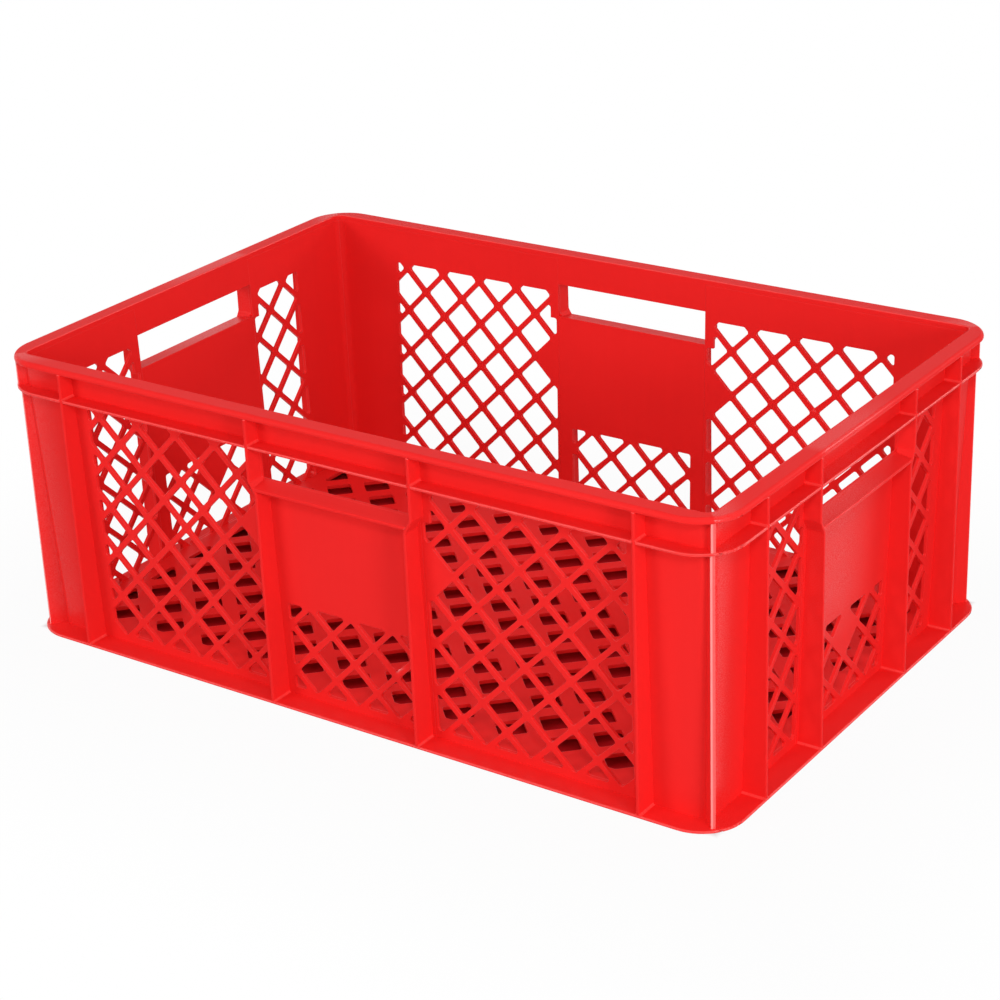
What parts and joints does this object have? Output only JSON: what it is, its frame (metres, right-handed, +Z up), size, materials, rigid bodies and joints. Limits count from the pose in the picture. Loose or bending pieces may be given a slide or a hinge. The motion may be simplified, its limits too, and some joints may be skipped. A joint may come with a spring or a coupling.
{
  "type": "stacking crate",
  "caption": "Open-topped perforated plastic stacking crate with lattice walls and floor, outer fins and flanges, and a lipped handle slot in each side.",
  "frame": {"origin": "centre of the footprint on the surface the crate stands on", "axes": "+X along the long sides, +Y across from the front long side to the back one, +Z up"},
  "size_m": [0.6, 0.4, 0.22],
  "materials": {
    "crate_plastic": "satin, fine moulded grain"
  },
  "bodies": {
    "root": {"corner_fin_back_left": "crate_plastic", "corner_fin_back_right": "crate_plastic", "corner_fin_front_left": "crate_plastic", "corner_fin_front_right": "crate_plastic", "fin_back_1": "crate_plastic", "fin_back_2": "crate_plastic", "fin_back_3": "crate_plastic", "fin_back_4": "crate_plastic", "fin_front_1": "crate_plastic", "fin_front_2": "crate_plastic", "fin_front_3": "crate_plastic", "fin_front_4": "crate_plastic", "fin_left_1": "crate_plastic", "fin_left_2": "crate_plastic", "fin_left_3": "crate_plastic", "fin_left_4": "crate_plastic", "fin_right_1": "crate_plastic", "fin_right_2": "crate_plastic", "fin_right_3": "crate_plastic", "fin_right_4": "crate_plastic", "floor_grid": "crate_plastic", "foot_flange_back": "crate_plastic", "foot_flange_front": "crate_plastic", "foot_flange_left": "crate_plastic", "foot_flange_right": "crate_plastic", "grip_bar_back": "crate_plastic", "grip_bar_front": "crate_plastic", "grip_bar_left": "crate_plastic", "grip_bar_right": "crate_plastic", "grip_lip_back": "crate_plastic", "grip_lip_front": "crate_plastic", "grip_lip_left": "crate_plastic", "grip_lip_right": "crate_plastic", "handle_panel_back": "crate_plastic", "handle_panel_front": "crate_plastic", "handle_panel_left": "crate_plastic", "handle_panel_right": "crate_plastic", "rim_back": "crate_plastic", "rim_front": "crate_plastic", "rim_left": "crate_plastic", "rim_right": "crate_plastic", "second_flange_back": "crate_plastic", "second_flange_front": "crate_plastic", "second_flange_left": "crate_plastic", "second_flange_right": "crate_plastic", "wall_back_left": "crate_plastic", "wall_back_right": "crate_plastic", "wall_front_left": "crate_plastic", "wall_front_right": "crate_plastic", "wall_left_back": "crate_plastic", "wall_left_front": "crate_plastic", "wall_right_back": "crate_plastic", "wall_right_front": "crate_plastic"}
  },
  "joints": []
}
